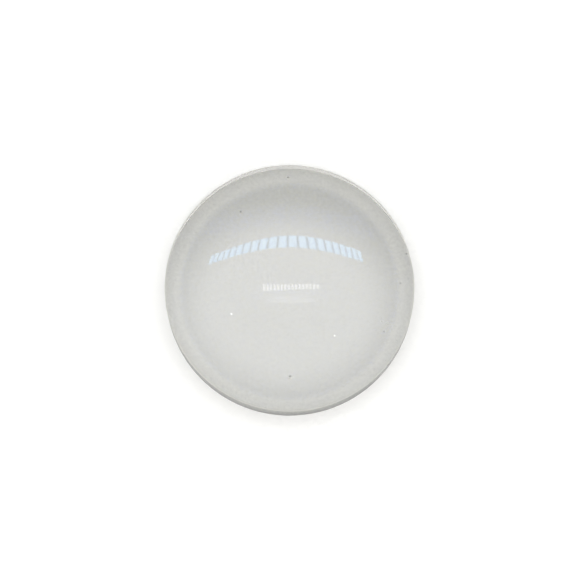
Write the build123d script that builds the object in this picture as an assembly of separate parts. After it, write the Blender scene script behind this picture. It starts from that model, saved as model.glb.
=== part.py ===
from build123d import *
import os
from math import atan2, degrees, sqrt

# A thick double-domed watch crystal: one ground and polished piece of clear glass.
# Millimetres, +Z up. The origin is the centre of the flat seat ring that it rests on, dome up.

# Driving dimensions
crystal_diameter = 30.0       # outside of the straight rim, the size that a bezel is bored to
rim_height = 4.4              # from the seat to the corner where rim and dome would meet
dome_rise = 1.6               # from that corner up to the top of the dome
seat_width = 2.0              # flat seat ring left round the hollow, its bevel included
hollow_depth = 0.8            # from the seat up to the middle of the domed underside
hollow_edge_radius = 6.0      # polished run between the seat ring and the domed underside
seat_bevel = 0.25             # lead-in between the rim and the seat
shoulder_bevel = 0.2          # broken edge between the rim and the dome, measured inwards

# Worked out from them
rim_radius = crystal_diameter / 2
seat_inner_radius = rim_radius - seat_width
top_height = rim_height + dome_rise
dome_radius = (rim_radius ** 2 + dome_rise ** 2) / (2 * dome_rise)
dome_centre_height = top_height - dome_radius

# The underside's arc and its polished edge touch, so the seat ring fixes the underside's radius
hollow_radius = (seat_inner_radius ** 2 + hollow_depth ** 2) / (2 * hollow_depth) - hollow_edge_radius
hollow_centre_height = hollow_depth - hollow_radius
hollow_edge_angle = degrees(atan2(seat_inner_radius, hollow_edge_radius - hollow_centre_height))


def dome_height_at(radius):
    """Height of the outer dome above the seat at a distance from the axis."""
    return dome_centre_height + sqrt(dome_radius ** 2 - radius ** 2)


def half_section():
    """Right half of the section through the axis, in the XZ plane."""
    shoulder_radius = rim_radius - shoulder_bevel
    shoulder_height = dome_height_at(shoulder_radius)
    shoulder_angle = degrees(atan2(shoulder_height - dome_centre_height, shoulder_radius))
    with BuildSketch(Plane.XZ) as section:
        with BuildLine():
            dome = CenterArc((0, dome_centre_height), dome_radius, shoulder_angle, 90 - shoulder_angle)
            Polyline(
                dome @ 0,
                (rim_radius, rim_height - shoulder_bevel),
                (rim_radius, seat_bevel),
                (rim_radius - seat_bevel, 0),
                (seat_inner_radius, 0),
            )
            CenterArc(
                (seat_inner_radius, hollow_edge_radius),
                hollow_edge_radius,
                270 - hollow_edge_angle,
                hollow_edge_angle,
            )
            CenterArc((0, hollow_centre_height), hollow_radius, 90 - hollow_edge_angle, hollow_edge_angle)
            Line((0, hollow_depth), dome @ 1)
        make_face()
    return section.sketch


def crystal():
    """The whole crystal: dome, rim, seat and underside are one body of revolution."""
    return revolve(half_section(), axis=Axis.Z, revolution_arc=360)


os.makedirs("parts", exist_ok=True)
export_step(crystal(), "parts/crystal.step")
print("dome radius", round(dome_radius, 2), "underside radius", round(hollow_radius, 2))
print("height", round(top_height, 2), "thickness in the middle", round(top_height - hollow_depth, 2))
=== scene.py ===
import bpy
import math
from mathutils import Matrix, Vector


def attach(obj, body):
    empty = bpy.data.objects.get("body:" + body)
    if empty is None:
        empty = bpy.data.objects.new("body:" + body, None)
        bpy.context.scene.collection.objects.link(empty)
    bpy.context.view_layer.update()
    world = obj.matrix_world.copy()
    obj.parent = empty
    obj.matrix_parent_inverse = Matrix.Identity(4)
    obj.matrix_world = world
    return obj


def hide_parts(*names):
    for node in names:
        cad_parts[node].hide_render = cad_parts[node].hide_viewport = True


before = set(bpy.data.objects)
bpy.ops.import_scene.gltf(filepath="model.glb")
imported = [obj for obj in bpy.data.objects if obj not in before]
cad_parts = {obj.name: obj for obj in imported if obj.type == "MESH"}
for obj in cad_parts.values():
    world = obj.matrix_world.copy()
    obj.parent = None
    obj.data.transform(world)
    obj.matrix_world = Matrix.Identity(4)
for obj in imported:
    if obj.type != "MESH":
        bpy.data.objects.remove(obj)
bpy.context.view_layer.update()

mm = 0.001
print("frame loaded")


# small helpers for colours, nodes and objects

def toLinear(hexText):
    values = []
    for start in (0, 2, 4):
        c = int(hexText.lstrip("#")[start:start + 2], 16) / 255
        values.append(c / 12.92 if c <= 0.04045 else ((c + 0.055) / 1.055) ** 2.4)      # the sRGB curve
    return (*values, 1.0)


def addNode(tree, kind, place=(0, 0), settings=None, links=None):
    node = tree.nodes.new(kind)
    node.location = place
    for name, value in (settings or {}).items():
        setattr(node, name, value)
    for socket, value in (links or {}).items():
        target = node.inputs[socket]
        if isinstance(value, bpy.types.NodeSocket):
            tree.links.new(value, target)
        else:
            target.default_value = value
    return node


def newMaterial(name):
    material = bpy.data.materials.new(name)
    material.use_nodes = True
    material.node_tree.nodes.clear()
    return material, material.node_tree


def addObject(name, data):
    thing = bpy.data.objects.new(name, data)
    bpy.context.scene.collection.objects.link(thing)
    return thing


# the camera: nearly straight down, leaning a little towards the lower edge of the picture

cameraSetup = {
    "pictureSide": 580,          # pixels, square picture
    "pixelOnObject": 0.12064,    # mm a pixel, half way up the rim
    "centre": (289.5, 290.2),    # pixel where the middle of the rim stands
    "lean": 9.0,                 # degrees from the crystal's axis
    "distance": 400.0,           # mm
    "aimHeight": 2.2,            # mm, half the rim
    "sensor": 36,                # mm
    "clip": (0.01, 10),          # m
}


def makeCamera(setup):
    side, centre = setup["pictureSide"], setup["centre"]
    width = side * setup["pixelOnObject"]
    data = bpy.data.cameras.new("bench camera")
    data.sensor_width = setup["sensor"]
    data.sensor_fit = "HORIZONTAL"
    data.lens = setup["sensor"] * setup["distance"] / width
    data.shift_x = (side / 2 - centre[0]) / side
    data.shift_y = (centre[1] - side / 2) / side
    data.clip_start, data.clip_end = setup["clip"]

    lean = math.radians(setup["lean"])
    away = Vector((0, -math.sin(lean), math.cos(lean)))
    right = Vector((1, 0, 0))
    up = away.cross(right)
    spot = Vector((0, 0, setup["aimHeight"] * mm)) + away * setup["distance"] * mm
    camera = addObject("bench camera", data)
    camera.matrix_world = Matrix.Translation(spot) @ Matrix((right, up, away)).transposed().to_4x4()
    bpy.context.scene.camera = camera
    return {"spot": spot, "right": right, "up": up, "forward": -away, "width": width * mm,
            "reach": setup["distance"] * mm}


def pictureRay(eye, x, y):
    # direction from the camera through a point of the picture, in pixels from its upper left
    side, centre = cameraSetup["pictureSide"], cameraSetup["centre"]
    across = (x - centre[0]) / side * eye["width"]
    upward = (centre[1] - y) / side * eye["width"]
    return (eye["forward"] * eye["reach"] + eye["right"] * across + eye["up"] * upward).normalized()


eye = makeCamera(cameraSetup)
print("camera set")


# the crystal: a body of revolution, made by one rule

crystalSetup = {
    "rimRadius": 15.0,           # mm, all as in the solid
    "rimHeight": 4.4,
    "domeRise": 1.6,
    "seatWidth": 2.0,
    "hollowDepth": 0.8,
    "hollowEdgeRadius": 6.0,
    "seatBevel": 0.25,
    "shoulderBevel": 0.2,
    "turnSteps": 1500,           # round the axis, fine enough for a clean edge seen through the glass
    "domeSteps": 28,             # along each arc of the section
    "hollowSteps": 20,
    "edgeSteps": 8,
    "weld": 0.002,               # mm, points nearer than this become one
    "sharpFrom": 20.0,           # degrees, a steeper edge stays sharp
}


def domeShape(setup):
    rim, rise = setup["rimRadius"], setup["domeRise"]
    radius = (rim * rim + rise * rise) / (2 * rise)
    return radius, setup["rimHeight"] + rise - radius


def crystalNumbers(setup):
    rim, depth = setup["rimRadius"], setup["hollowDepth"]
    domeRadius, domeCentre = domeShape(setup)
    shoulder = rim - setup["shoulderBevel"]
    shoulderHeight = domeCentre + math.sqrt(domeRadius ** 2 - shoulder ** 2)
    seatInner = rim - setup["seatWidth"]
    edge = setup["hollowEdgeRadius"]
    hollowRadius = (seatInner ** 2 + depth ** 2) / (2 * depth) - edge      # so that the two arcs touch
    hollowCentre = depth - hollowRadius
    return {
        "Dome Radius": domeRadius * mm,
        "Dome Centre": domeCentre * mm,
        "Dome Angle": math.asin(shoulder / domeRadius),
        "Shoulder Radius": shoulder * mm,
        "Shoulder Height": shoulderHeight * mm,
        "Rim Radius": rim * mm,
        "Rim Top": (setup["rimHeight"] - setup["shoulderBevel"]) * mm,
        "Seat Bevel": setup["seatBevel"] * mm,
        "Seat Inner Radius": seatInner * mm,
        "Hollow Radius": hollowRadius * mm,
        "Hollow Centre": hollowCentre * mm,
        "Hollow Edge Radius": edge * mm,
        "Hollow Angle": math.atan2(seatInner, edge - hollowCentre),
    }


def crystalTree(setup, numbers):
    tree = bpy.data.node_groups.new("turned crystal", "GeometryNodeTree")
    face = tree.interface
    face.new_socket("Geometry", in_out="INPUT", socket_type="NodeSocketGeometry")
    face.new_socket("Geometry", in_out="OUTPUT", socket_type="NodeSocketGeometry")
    for kind, names in (
        ("NodeSocketFloat", numbers),
        ("NodeSocketInt", ("Turn Steps", "Dome Steps", "Hollow Steps", "Edge Steps")),
        ("NodeSocketMaterial", ("Dome Glass", "Rim Glass", "Bevel Glass", "Underside Glass")),
    ):
        for name in names:
            face.new_socket(name, in_out="INPUT", socket_type=kind)

    # what the tree is given, and then what it works out, each under its name
    value = {socket.name: socket for socket in addNode(tree, "NodeGroupInput", (-2100, 0)).outputs}
    value["Index"] = addNode(tree, "GeometryNodeInputIndex", (-2100, -600)).outputs[0]
    where = addNode(tree, "GeometryNodeInputPosition", (-2100, -700)).outputs[0]
    facing = addNode(tree, "GeometryNodeInputNormal", (-2100, -800)).outputs[0]
    for name, vector in (("Place", where), ("Normal", facing)):
        parted = addNode(tree, "ShaderNodeSeparateXYZ", (-1900, -700), None, {0: vector}).outputs
        for axis in "XYZ":
            value[name + " " + axis] = parted[axis]
    quarter = math.pi / 2
    for name, operation, *items in (
        # the section
        ("Bevel Radius", "SUBTRACT", "Rim Radius", "Seat Bevel"),
        ("Dome Sweep", "MULTIPLY", "Dome Angle", -1.0),
        ("Edge Sweep", "MULTIPLY", "Hollow Angle", -1.0),
        ("Hollow Start", "SUBTRACT", quarter, "Hollow Angle"),
        # each point's column and row in the net, and its turn round the axis
        ("Rows", "ADD", "Turn Steps", 1.0),
        ("Middle Index", "ADD", "Index", 0.5),       # half a point on, so that rounding can't miss a column
        ("Columns Passed", "DIVIDE", "Middle Index", "Rows"),
        ("Column", "FLOOR", "Columns Passed"),
        ("Points Passed", "MULTIPLY", "Column", "Rows"),
        ("Row", "SUBTRACT", "Index", "Points Passed"),
        ("Turn Share", "DIVIDE", "Row", "Turn Steps"),
        ("Turn", "MULTIPLY", "Turn Share", 2 * math.pi),
        ("Cosine", "COSINE", "Turn"),
        ("Sine", "SINE", "Turn"),
        # which finish a face has
        ("X Squared", "POWER", "Place X", 2.0),
        ("Y Squared", "POWER", "Place Y", 2.0),
        ("Both Squared", "ADD", "X Squared", "Y Squared"),
        ("From Axis", "SQRT", "Both Squared"),
        ("Is Dome", "GREATER_THAN", "Place Z", "Rim Top"),
        ("Is Low", "LESS_THAN", "Place Z", "Seat Bevel"),
        ("Is Outer", "GREATER_THAN", "From Axis", "Bevel Radius"),
        ("Is Bevel", "MULTIPLY", "Is Low", "Is Outer"),
        ("Faces Down", "LESS_THAN", "Normal Z", 0.0),
        ("Is Inner", "LESS_THAN", "From Axis", "Bevel Radius"),
        ("Is Underside", "MULTIPLY", "Faces Down", "Is Inner"),
    ):
        value[name] = addNode(tree, "ShaderNodeMath", (-1700, 0), {"operation": operation}, {
            slot: value.get(item, item) for slot, item in enumerate(items)}).outputs[0]

    # the section's corners and the centres of its arcs: out from the axis, up from the seat
    spots = {}
    for name, radius, height in (
        ("dome centre", 0.0, "Dome Centre"),
        ("shoulder", "Shoulder Radius", "Shoulder Height"),
        ("rim top", "Rim Radius", "Rim Top"),
        ("rim foot", "Rim Radius", "Seat Bevel"),
        ("seat outside", "Bevel Radius", 0.0),
        ("seat inside", "Seat Inner Radius", 0.0),
        ("edge centre", "Seat Inner Radius", "Hollow Edge Radius"),
        ("hollow centre", 0.0, "Hollow Centre"),
    ):
        spots[name] = addNode(tree, "ShaderNodeCombineXYZ", (-1300, 0), None, {
            "X": value.get(radius, radius), "Y": value.get(height, height)}).outputs[0]

    # the section, from the top of the dome out, down the rim and in along the underside
    arcs = []
    for steps, radius, start, sweep, centre in (
        ("Dome Steps", "Dome Radius", quarter, "Dome Sweep", "dome centre"),
        ("Edge Steps", "Hollow Edge Radius", -quarter, "Edge Sweep", "edge centre"),
        ("Hollow Steps", "Hollow Radius", "Hollow Start", "Hollow Angle", "hollow centre"),
    ):
        curve = addNode(tree, "GeometryNodeCurveArc", (-1100, 0), {"mode": "RADIUS"}, {
            "Resolution": value[steps], "Radius": value[radius],
            "Start Angle": value.get(start, start), "Sweep Angle": value[sweep]}).outputs["Curve"]
        arcs.append(addNode(tree, "GeometryNodeTransform", (-900, 0), None, {
            "Geometry": curve, "Translation": spots[centre]}).outputs[0])
    walls = []
    corners = ("shoulder", "rim top", "rim foot", "seat outside", "seat inside")
    for start, end in zip(corners, corners[1:]):
        walls.append(addNode(tree, "GeometryNodeCurvePrimitiveLine", (-900, 0), {"mode": "POINTS"}, {
            "Start": spots[start], "End": spots[end]}).outputs[0])
    joined = addNode(tree, "GeometryNodeJoinGeometry", (-650, 0))
    for part in reversed([arcs[0], *walls, *arcs[1:]]):      # a join lists its links from the last made
        tree.links.new(part, joined.inputs[0])
    section = addNode(tree, "GeometryNodeCurveToMesh", (-450, 0), None, {
        "Curve": joined.outputs[0]}).outputs[0]
    size = addNode(tree, "GeometryNodeAttributeDomainSize", (-250, 200), {"component": "MESH"}, {
        "Geometry": section}).outputs["Point Count"]

    # a flat net of points, each sent to its place on the section and round the axis
    net = addNode(tree, "GeometryNodeMeshGrid", (-50, 200), None, {
        "Size X": 1.0, "Size Y": 1.0, "Vertices X": size, "Vertices Y": value["Rows"]}).outputs["Mesh"]
    sampled = addNode(tree, "GeometryNodeSampleIndex", (-50, -200), {"data_type": "FLOAT_VECTOR"}, {
        "Geometry": section, "Value": where, "Index": value["Column"]}).outputs[0]
    flat = addNode(tree, "ShaderNodeSeparateXYZ", (150, -200), None, {0: sampled}).outputs
    across, up = (
        addNode(tree, "ShaderNodeMath", (250, -200), {"operation": "MULTIPLY"}, {
            0: flat["X"], 1: value[name]}).outputs[0]
        for name in ("Cosine", "Sine"))
    spot = addNode(tree, "ShaderNodeCombineXYZ", (350, -200), None, {
        "X": across, "Y": up, "Z": flat["Y"]}).outputs[0]
    turned = addNode(tree, "GeometryNodeSetPosition", (550, 0), None, {
        "Geometry": net, "Position": spot}).outputs[0]
    closed = addNode(tree, "GeometryNodeMergeByDistance", (750, 0), None, {
        "Geometry": turned, "Distance": setup["weld"] * mm}).outputs[0]

    # polished faces shade smooth, and only the two bevels keep their edges
    smooth = addNode(tree, "GeometryNodeSetShadeSmooth", (950, 0), {"domain": "FACE"}, {
        "Geometry": closed, "Shade Smooth": True}).outputs[0]
    angle = addNode(tree, "GeometryNodeInputMeshEdgeAngle", (750, -200)).outputs["Unsigned Angle"]
    sharp = addNode(tree, "FunctionNodeCompare", (950, -200),
                    {"data_type": "FLOAT", "operation": "GREATER_THAN"},
                    {"A": angle, "B": math.radians(setup["sharpFrom"])}).outputs[0]
    edged = addNode(tree, "GeometryNodeSetShadeSmooth", (1150, 0), {"domain": "EDGE"}, {
        "Geometry": smooth, "Selection": sharp, "Shade Smooth": False}).outputs[0]

    # four finishes: the rim's everywhere first, and then the others over it
    finished = addNode(tree, "GeometryNodeRealizeInstances", (1350, 0), None, {"Geometry": edged}).outputs[0]
    for name, chosen in (
        ("Rim Glass", True),
        ("Dome Glass", value["Is Dome"]),
        ("Bevel Glass", value["Is Bevel"]),
        ("Underside Glass", value["Is Underside"]),
    ):
        finished = addNode(tree, "GeometryNodeSetMaterial", (1550, 0), None, {
            "Geometry": finished, "Selection": chosen, "Material": value[name]}).outputs[0]
    addNode(tree, "NodeGroupOutput", (1750, 0), None, {0: finished})
    return tree


def bakeTree(name, tree, values):
    # the modifier's result as a plain mesh of its own
    holder = addObject(name + " holder", bpy.data.meshes.new(name + " holder"))
    modifier = holder.modifiers.new("turned", "NODES")
    modifier.node_group = tree
    for item in tree.interface.items_tree:
        if item.item_type == "SOCKET" and item.in_out == "INPUT" and item.name in values:
            modifier[item.identifier] = values[item.name]
    bpy.context.view_layer.update()
    graph = bpy.context.evaluated_depsgraph_get()
    mesh = bpy.data.meshes.new_from_object(holder.evaluated_get(graph), depsgraph=graph)
    bpy.data.objects.remove(holder)
    mesh.name = name
    return addObject(name, mesh)


# mineral glass, ground, lapped and polished: nearly colourless, it bends what lies behind it, mirrors the
# room sharply where it is polished, and looks soft and greyish where it is ground or lapped

glassSetup = {
    "ior": 1.5,                  # common mineral glass
    "body": "#FAFAF8",           # polished, it lets nearly all light through
    "polishRough": 0.0,          # dome and seat bevel, and the rim's total reflection from within
    "film": 1.0,                 # a thin film of handling all over the dome
    "filmRough": 0.04,           # a touch softer than bare polish
    "filmIor": 1.8,              # reflections about three times as strong as bare glass has
    "rimBody": "#C4C4C0",        # the rim seen through the glass
    "rimOutsidePaintedShade": "#888884",        # painted shade: from outside, the rim's ground skin is given a darker grey than from within, which darkens the band along its lower edge; it also scatters
    "rimSkinRough": 0.26,
    # painted shade: the coat's grey tint below stands partly for the coat's own loss and partly for the shade
    # on the paper under the crystal
    "coatBodyAndPaintedShade": "#B9B9AE",       # the coat under the crystal takes a little light each way
    "coatTint": "#5A74D2",       # and what it still turns back is bluish
    "coatRough": 0.05,
    "seatBodyAndPaintedShade": "#D1D1CA",       # the bare lapped ring takes less, and carries less of that painted shade
    "seatRough": 0.22,           # and is finer than the ground rim
    "seatFade": (12.3, 13.4),    # mm from the axis, where the lapping wears in from the polish
    "smudgeSize": 5.0,           # mm, the soft marks that a wiping cloth leaves
    "smudgeRange": (0.52, 0.8),  # part of the noise that shows as marks
    "smudgeRough": 0.004,
    "dustLight": "#FFFFFD",      # grains that catch the light
    "paintedGlintOnBrightGrains": 0.16,           # painted glint: how brightly the bright grains and the wiped mark glow of their own
    "dustDark": "#4A4844",       # grains that stand against it
    "darkSpecks": [              # mm across, mm up, mm wide, share of light that a grain stops
        (-0.18, 13.37, 0.44, 0.9), (-5.85, 9.08, 0.36, 0.85), (0.06, -10.88, 0.50, 1.0),
        (13.30, 0.43, 0.34, 0.2), (11.03, -4.25, 0.34, 0.3), (11.69, -4.43, 0.36, 0.35),
        (11.33, -5.44, 0.34, 0.35), (14.05, 4.06, 0.34, 0.35),
    ],
    "brightSpecks": [(-6.93, -3.42, 0.30, 1.0), (5.37, -6.02, 0.30, 0.95)],
    "speckCore": 0.3,            # share of a grain's half width that has its full tone
    "smear": (0.30, -1.74, 4.2, 0.56, 0.07),     # one wiped mark: mm across, up, half long, half wide, share
    "smearCore": 0.7,            # share of the mark that is even before it fades
    "fleckSpacing": 1.3,         # mm, the finest dust is really closer, but would be lost in the render
    "fleckSize": 0.07,           # mm from its middle, drawn coarser than real dust so that it shows
    "fleckDepth": 0.3,
}


def filmDustAndPaintedGlint(setup, tree, glass, place, marks):
    # the dome's polish under a thin film, with fine dust all over, a few larger grains and one wiped mark;
    # the bright grains and the mark also glow faintly, a painted glint
    glass.inputs["Coat Weight"].default_value = setup["film"]
    glass.inputs["Coat Roughness"].default_value = setup["filmRough"]
    glass.inputs["Coat IOR"].default_value = setup["filmIor"]
    flat = addNode(tree, "ShaderNodeVectorMath", (-1000, 200), {"operation": "MULTIPLY"}, {
        0: place, 1: (1, 1, 0)}).outputs[0]

    cell = addNode(tree, "ShaderNodeTexVoronoi", (-800, 500), {"voronoi_dimensions": "2D"}, {
        "Vector": flat, "Scale": 1 / (setup["fleckSpacing"] * mm), "Randomness": 1.0}).outputs
    fleck = addNode(tree, "ShaderNodeMapRange", (-600, 500), {"interpolation_type": "SMOOTHSTEP"}, {
        "Value": cell["Distance"], "From Min": 0.0, "From Max": setup["fleckSize"] / setup["fleckSpacing"],
        "To Min": setup["fleckDepth"], "To Max": 0.0}).outputs[0]
    chance = addNode(tree, "ShaderNodeSeparateXYZ", (-600, 650), None, {0: cell["Color"]}).outputs["X"]
    fleck = addNode(tree, "ShaderNodeMath", (-400, 500), {"operation": "MULTIPLY"}, {
        0: fleck, 1: chance}).outputs[0]

    grains = []
    for cover, rows in ((fleck, setup["darkSpecks"]), (0.0, setup["brightSpecks"])):
        for across, up, wide, share in rows:
            half = wide * mm / 2
            gap = addNode(tree, "ShaderNodeVectorMath", (-800, 200), {"operation": "DISTANCE"}, {
                0: flat, 1: (across * mm, up * mm, 0)}).outputs["Value"]
            dot = addNode(tree, "ShaderNodeMapRange", (-600, 200), {"interpolation_type": "SMOOTHSTEP"}, {
                "Value": gap, "From Min": half * setup["speckCore"], "From Max": half,
                "To Min": share, "To Max": 0.0}).outputs[0]
            cover = addNode(tree, "ShaderNodeMath", (-400, 200), {"operation": "MAXIMUM"}, {
                0: cover, 1: dot}).outputs[0]
        grains.append(cover)
    dark, bright = grains

    across, up, halfLong, halfWide, share = setup["smear"]
    along = addNode(tree, "ShaderNodeMapping", (-1000, -50), {"vector_type": "TEXTURE"}, {
        "Vector": flat, "Location": (across * mm, up * mm, 0),
        "Scale": (halfLong * mm, halfWide * mm, 1.0)}).outputs[0]
    off = addNode(tree, "ShaderNodeVectorMath", (-800, -50), {"operation": "LENGTH"}, {
        0: along}).outputs["Value"]
    wiped = addNode(tree, "ShaderNodeMapRange", (-600, -50), {"interpolation_type": "SMOOTHSTEP"}, {
        "Value": off, "From Min": setup["smearCore"], "From Max": 1.0,
        "To Min": share, "To Max": 0.0}).outputs[0]
    bright = addNode(tree, "ShaderNodeMath", (-400, -50), {"operation": "MAXIMUM"}, {
        0: bright, 1: wiped}).outputs[0]

    shade = addNode(tree, "ShaderNodeMix", (-150, 250), {"data_type": "RGBA"}, {
        0: dark, 6: toLinear(setup["body"]), 7: toLinear(setup["dustDark"])}).outputs[2]
    shade = addNode(tree, "ShaderNodeMix", (50, 250), {"data_type": "RGBA"}, {
        0: bright, 6: shade, 7: toLinear(setup["dustLight"])}).outputs[2]
    cover = addNode(tree, "ShaderNodeMath", (-150, 50), {"operation": "MAXIMUM"}, {
        0: dark, 1: bright}).outputs[0]
    clear = addNode(tree, "ShaderNodeMath", (50, 50), {"operation": "SUBTRACT"}, {
        0: 1.0, 1: cover}).outputs[0]
    # painted glint: the bright grains and the wiped mark glow a little, as emission
    paintedGlint = addNode(tree, "ShaderNodeMath", (50, -100), {"operation": "MULTIPLY"}, {
        0: bright, 1: setup["paintedGlintOnBrightGrains"]}).outputs[0]
    tree.links.new(shade, glass.inputs["Base Color"])
    tree.links.new(clear, glass.inputs["Transmission Weight"])
    tree.links.new(paintedGlint, glass.inputs["Emission Strength"])
    return marks


def groundSkinAndPaintedShade(setup, tree, glass, place, marks):
    # the two sides of the rim's surface: a darker grey outside, painted shade for the dark band at its lower
    # edge, and scattering there; still a clean mirror from within
    inside = addNode(tree, "ShaderNodeNewGeometry", (-600, -500)).outputs["Backfacing"]
    shade = addNode(tree, "ShaderNodeMix", (-100, -600), {"data_type": "RGBA"}, {
        0: inside, 6: toLinear(setup["rimOutsidePaintedShade"]), 7: toLinear(setup["rimBody"])}).outputs[2]
    tree.links.new(shade, glass.inputs["Base Color"])
    return addNode(tree, "ShaderNodeMix", (-100, -300), {"data_type": "FLOAT"}, {
        0: inside, 2: setup["rimSkinRough"], 3: marks}).outputs[0]


def coatAndSeat(setup, tree, glass, place, marks):
    # a bluish coat in the hollow whose grey tint is partly painted shade, and round it the bare ring, lapped
    # to a soft grey with less of that shade
    glass.inputs["Specular Tint"].default_value = toLinear(setup["coatTint"])
    flat = addNode(tree, "ShaderNodeVectorMath", (-1000, -500), {"operation": "MULTIPLY"}, {
        0: place, 1: (1, 1, 0)}).outputs[0]
    fromAxis = addNode(tree, "ShaderNodeVectorMath", (-800, -500), {"operation": "LENGTH"}, {
        0: flat}).outputs["Value"]
    polished, lapped = setup["seatFade"]
    ring = addNode(tree, "ShaderNodeMapRange", (-600, -500), {"interpolation_type": "SMOOTHSTEP"}, {
        "Value": fromAxis, "From Min": polished * mm, "From Max": lapped * mm,
        "To Min": 0.0, "To Max": 1.0}).outputs[0]
    # painted shade: these grey tints darken all that is seen through the underside, standing partly for the
    # shade under the crystal
    shade = addNode(tree, "ShaderNodeMix", (-100, -600), {"data_type": "RGBA"}, {
        0: ring, 6: toLinear(setup["coatBodyAndPaintedShade"]), 7: toLinear(setup["seatBodyAndPaintedShade"])}).outputs[2]
    tree.links.new(shade, glass.inputs["Base Color"])
    rough = addNode(tree, "ShaderNodeMath", (-300, -500), {"operation": "MULTIPLY"}, {
        0: ring, 1: setup["seatRough"]}).outputs[0]
    return addNode(tree, "ShaderNodeMath", (-100, -300), {"operation": "MAXIMUM"}, {
        0: marks, 1: rough}).outputs[0]


def glassMaterial(name, setup, body, roughness, finish=None):
    # clear glass with the faint marks of a wiping cloth, and what its own finish adds
    material, tree = newMaterial(name)
    glass = addNode(tree, "ShaderNodeBsdfPrincipled", (300, 0), None, {
        "IOR": setup["ior"], "Transmission Weight": 1.0, "Base Color": toLinear(body)})
    addNode(tree, "ShaderNodeOutputMaterial", (600, 0), None, {"Surface": glass.outputs[0]})
    place = addNode(tree, "ShaderNodeTexCoord", (-1200, 0)).outputs["Object"]
    cloud = addNode(tree, "ShaderNodeTexNoise", (-600, -200), None, {
        "Vector": place, "Scale": 1 / (setup["smudgeSize"] * mm),
        "Detail": 4.0, "Roughness": 0.6}).outputs["Fac"]
    faint, full = setup["smudgeRange"]
    marks = addNode(tree, "ShaderNodeMapRange", (-300, -200), {"interpolation_type": "SMOOTHSTEP"}, {
        "Value": cloud, "From Min": faint, "From Max": full,
        "To Min": roughness, "To Max": roughness + setup["smudgeRough"]}).outputs[0]
    if finish:
        marks = finish(setup, tree, glass, place, marks)
    tree.links.new(marks, glass.inputs["Roughness"])
    return material


# polished dome: sharp bright reflections over clear depth, and a breath of dust with a painted glint on its
# bright grains
domeGlass = glassMaterial(
    "mineral glass, polished dome", glassSetup, glassSetup["body"], glassSetup["polishRough"], filmDustAndPaintedGlint)

# ground rim: a satin grey wall from the side, a thin dark band from above, both darkened by painted shade on
# its outer face
rimGlass = glassMaterial(
    "mineral glass, ground rim", glassSetup, glassSetup["rimBody"], glassSetup["polishRough"], groundSkinAndPaintedShade)

# polished seat bevel: the light crescent inside the upper edge
bevelGlass = glassMaterial(
    "mineral glass, polished seat bevel", glassSetup, glassSetup["body"], glassSetup["polishRough"])

# coated underside: a soft bluish second reflection, a grey tint over the hollow that partly paints the shade
# under the crystal, and a greyer ring where it is lapped
underGlass = glassMaterial(
    "mineral glass, coated underside and lapped seat", glassSetup, glassSetup["coatBodyAndPaintedShade"],
    glassSetup["coatRough"], coatAndSeat)

numbers = crystalNumbers(crystalSetup)
tree = crystalTree(crystalSetup, numbers)
crystal = bakeTree("turnedCrystal", tree, {
    **numbers,
    "Turn Steps": crystalSetup["turnSteps"], "Dome Steps": crystalSetup["domeSteps"],
    "Hollow Steps": crystalSetup["hollowSteps"], "Edge Steps": crystalSetup["edgeSteps"],
    "Dome Glass": domeGlass, "Rim Glass": rimGlass, "Bevel Glass": bevelGlass, "Underside Glass": underGlass})
print("crystal turned:", len(crystal.data.polygons), "faces,", len(crystal.data.materials), "finishes")
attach(crystal, "root")
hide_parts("crystal")


# the paper that it lies on: uncoated copy paper, plain matt white with a faint mottle

paperSetup = {
    "white": "#E6E6E4",
    "grainSize": 0.35,           # mm, drawn coarser than real fibres so that it shows
    "grainRange": (0.25, 0.75),  # part of the noise that the grain uses
    "grainDepth": 0.13,          # share of the brightness
    "backdropGlow": 0.30,        # what the eye and the glass see on top of the lit paper
    "size": 1.6,                 # m
    "sink": 0.02,                # mm that the paper gives way under the seat ring
}


def makePaper(setup):
    material, tree = newMaterial("white copy paper, uncoated")
    place = addNode(tree, "ShaderNodeTexCoord", (-1000, 0)).outputs["Object"]
    grain = addNode(tree, "ShaderNodeTexNoise", (-800, 0), None, {
        "Vector": place, "Scale": 1 / (setup["grainSize"] * mm),
        "Detail": 3.0, "Roughness": 0.55}).outputs["Fac"]
    dark, light = setup["grainRange"]
    level = addNode(tree, "ShaderNodeMapRange", (-600, 0), None, {
        "Value": grain, "From Min": dark, "From Max": light,
        "To Min": 1 - setup["grainDepth"], "To Max": 1 + setup["grainDepth"]}).outputs[0]
    colour = addNode(tree, "ShaderNodeVectorMath", (-400, 0), {"operation": "SCALE"}, {
        0: toLinear(setup["white"])[:3], "Scale": level}).outputs[0]
    paper = addNode(tree, "ShaderNodeBsdfDiffuse", (-200, 0), None, {"Color": colour, "Roughness": 0.0})

    # the glow shows to the camera and in the glass, and lights nothing
    path = addNode(tree, "ShaderNodeLightPath", (-800, -300)).outputs
    seen = path["Is Camera Ray"]
    for ray in ("Is Glossy Ray", "Is Transmission Ray"):
        seen = addNode(tree, "ShaderNodeMath", (-500, -300), {"operation": "MAXIMUM"}, {
            0: seen, 1: path[ray]}).outputs[0]
    strength = addNode(tree, "ShaderNodeMath", (-200, -300), {"operation": "MULTIPLY"}, {
        0: seen, 1: setup["backdropGlow"]}).outputs[0]
    glow = addNode(tree, "ShaderNodeEmission", (0, -300), None, {"Color": (1, 1, 1, 1), "Strength": strength})
    both = addNode(tree, "ShaderNodeAddShader", (200, 0), None, {0: paper.outputs[0], 1: glow.outputs[0]})
    addNode(tree, "ShaderNodeOutputMaterial", (400, 0), None, {"Surface": both.outputs[0]})

    half, low = setup["size"] / 2, -setup["sink"] * mm
    mesh = bpy.data.meshes.new("paper")
    mesh.from_pydata(
        [(-half, -half, low), (half, -half, low), (half, half, low), (-half, half, low)], [], [(0, 1, 2, 3)])
    mesh.materials.append(material)
    paperSheet = addObject("paper", mesh)


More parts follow.
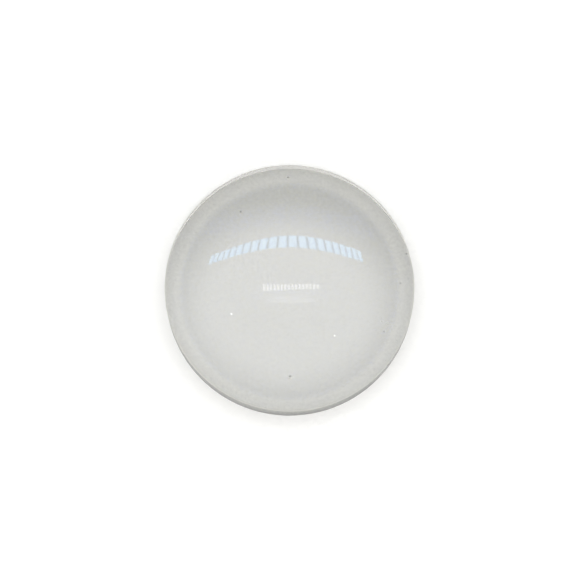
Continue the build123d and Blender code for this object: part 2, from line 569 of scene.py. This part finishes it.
makePaper(paperSetup)
print("paper laid")


# light: an even white sky, a soft lamp overhead, and two cell lamps, all of which show in the dome

skySetup = {
    "colour": "#FFFEFC",
    "strength": 0.88,
}

softboxSetup = {                 # its veil lies over the middle of the dome
    "name": "overhead softbox",
    "over": (285, 304),          # the pixel that its middle shows at in the dome
    "height": 0.45,              # m above the seat
    "across": 0.268,             # m, half its width
    "deep": 0.224,               # m, half its depth
    "steps": 96,                 # corners round its edge
    "core": 0.45,                # share of the half width that is evenly bright
    "colour": "#FFFFFF",
    "strength": 2.56,            # in the core; at the edge it is the sky's, so that no edge shows
}

longStrip = {                    # the wide row of bars, in pixels of the picture where not said otherwise
    "name": "long cell lamp",
    "bars": 21,
    "middleBar": 11.05,          # bars from the left end to the widest
    "spread": 5.3,               # bars from there until they narrow
    "centre": 288.22,            # where the widest stands across the picture
    "reach": 53.39,              # how far the row opens out
    "rowAt": 241.3,              # where the row stands down the picture
    "rowBend": 27.7,             # how steeply it falls away to both sides
    "rowReach": 60.0,            # from the middle of the picture until it falls so
    "rowTilt": -0.0072,
    "tall": 11.8,                # a bar's length, and how that changes along the row
    "tallSlope": 0.0133,
    "tallBend": -0.00036,
    "lean": 1.4,                 # how far a bar's ends lean out
    "leanReach": 20.0,           # from the middle of the picture until they lean nearly so far
    "gap": 0.24,                 # share of a cell that the bar between two takes
    "height": 0.42,              # m above the seat
    "colour": "#D6EAFF",
    "strength": 4.4,
    "frame": 0.47,               # how bright the bars between the cells are beside them
}

shortStrip = {                   # the small white row near the middle
    "name": "short cell lamp",
    "bars": 16,                  # it really has about 23, too fine to show singly, so they are drawn coarser
    "middleBar": 8.0,
    "spread": 42.0,
    "centre": 290.75,
    "reach": 151.0,
    "rowAt": 287.0,
    "rowBend": 0.0,
    "rowReach": 60.0,
    "rowTilt": -0.023,
    "tall": 5.8,
    "tallSlope": -0.028,
    "tallBend": 0.0,
    "lean": 0.0,
    "leanReach": 20.0,
    "gap": 0.5,
    "height": 0.42,
    "colour": "#FFFFFF",
    "strength": 4.6,
    "frame": 0.0,                # open between the cells
}


def mirrorPoint(x, y, height):
    # where the dome sends the camera's look at a picture point, at the height of a lamp
    radius, centreHeight = domeShape(crystalSetup)
    radius, centre = radius * mm, Vector((0, 0, centreHeight * mm))
    look = pictureRay(eye, x, y)
    toEye = eye["spot"] - centre
    half = look.dot(toEye)
    reach = -half - math.sqrt(half * half - toEye.length_squared + radius * radius)
    hit = eye["spot"] + look * reach
    normal = (hit - centre).normalized()
    away = look - normal * 2 * look.dot(normal)
    return hit + away * ((height - hit.z) / away.z)


def makeSoftbox(setup):
    centre = mirrorPoint(*setup["over"], setup["height"])
    verts = []
    for step in range(setup["steps"]):
        turn = 2 * math.pi * step / setup["steps"]
        verts.append((centre.x + setup["across"] * math.cos(turn),
                      centre.y + setup["deep"] * math.sin(turn), setup["height"]))
    mesh = bpy.data.meshes.new(setup["name"])
    mesh.from_pydata(verts, [], [tuple(reversed(range(setup["steps"])))])      # it faces down

    # cloth lit from behind: brightest in the middle, with a long soft fall to its edge
    material, tree = newMaterial("softbox cloth, lit from behind")
    place = addNode(tree, "ShaderNodeTexCoord", (-900, 0)).outputs["Object"]
    centred = addNode(tree, "ShaderNodeMapping", (-750, 0), {"vector_type": "TEXTURE"}, {
        "Vector": place, "Location": (centre.x, centre.y, setup["height"]),
        "Scale": (setup["across"], setup["deep"], 1.0)}).outputs[0]
    off = addNode(tree, "ShaderNodeVectorMath", (-550, 0), {"operation": "LENGTH"}, {
        0: centred}).outputs["Value"]
    level = addNode(tree, "ShaderNodeMapRange", (-400, 0), {"interpolation_type": "SMOOTHSTEP"}, {
        "Value": off, "From Min": setup["core"], "From Max": 1.0,
        "To Min": setup["strength"], "To Max": skySetup["strength"]}).outputs[0]
    glow = addNode(tree, "ShaderNodeEmission", (-200, 0), None, {
        "Color": toLinear(setup["colour"]), "Strength": level})
    addNode(tree, "ShaderNodeOutputMaterial", (0, 0), None, {"Surface": glow.outputs[0]})
    mesh.materials.append(material)
    softbox = addObject(setup["name"], mesh)
    print("softbox over", round(centre.x / mm), round(centre.y / mm), "mm")


def makeStrip(setup):
    # one flat face for each cell, and where the frame glows too, one for each bar between two cells
    cells, bars = 0, 1           # which of the two materials a face has
    spans = []
    for bar in range(setup["bars"]):
        spans.append((bar + setup["gap"] / 2, bar + 1 - setup["gap"] / 2, cells))
        if setup["frame"] and bar < setup["bars"] - 1:
            spans.append((bar + 1 - setup["gap"] / 2, bar + 1 + setup["gap"] / 2, bars))
    verts = []
    for start, stop, kind in spans:
        left, right = (
            setup["centre"] + setup["reach"] * math.asinh((edge - setup["middleBar"]) / setup["spread"])
            for edge in (start, stop))
        for x, side in ((left, -1), (right, -1), (right, 1), (left, 1)):       # upper edge, then lower edge
            u = x - cameraSetup["centre"][0]
            bend = math.hypot(1, u / setup["rowReach"]) - 1
            middle = setup["rowAt"] + setup["rowTilt"] * u + setup["rowBend"] * bend
            tall = setup["tall"] + setup["tallSlope"] * u + setup["tallBend"] * u * u
            leaned = x + side * setup["lean"] * u / math.hypot(u, setup["leanReach"])
            verts.append(mirrorPoint(leaned, middle + side * tall / 2, setup["height"]))
    mesh = bpy.data.meshes.new(setup["name"])
    mesh.from_pydata(verts, [], [tuple(range(4 * face, 4 * face + 4)) for face in range(len(spans))])

    # frosted plastic lit from behind: even light with no bright spot
    for what, share in ((", frosted cells", 1.0), (", bars between the cells", setup["frame"])):
        material, tree = newMaterial(setup["name"] + what)
        glow = addNode(tree, "ShaderNodeEmission", (0, 0), None, {
            "Color": toLinear(setup["colour"]), "Strength": setup["strength"] * share})
        addNode(tree, "ShaderNodeOutputMaterial", (200, 0), None, {"Surface": glow.outputs[0]})
        mesh.materials.append(material)
    mesh.polygons.foreach_set("material_index", [kind for start, stop, kind in spans])
    strip = addObject(setup["name"], mesh)
    print(setup["name"], "spans", round((verts[-3] - verts[0]).length / mm), "mm")


def makeLights():
    world = bpy.data.worlds.new("white room")
    world.use_nodes = True
    back = world.node_tree.nodes["Background"]
    back.inputs["Color"].default_value = toLinear(skySetup["colour"])
    back.inputs["Strength"].default_value = skySetup["strength"]
    bpy.context.scene.world = world
    makeSoftbox(softboxSetup)
    makeStrip(longStrip)
    makeStrip(shortStrip)


makeLights()
bpy.context.scene.view_settings.view_transform = "Standard"
print("lights on")
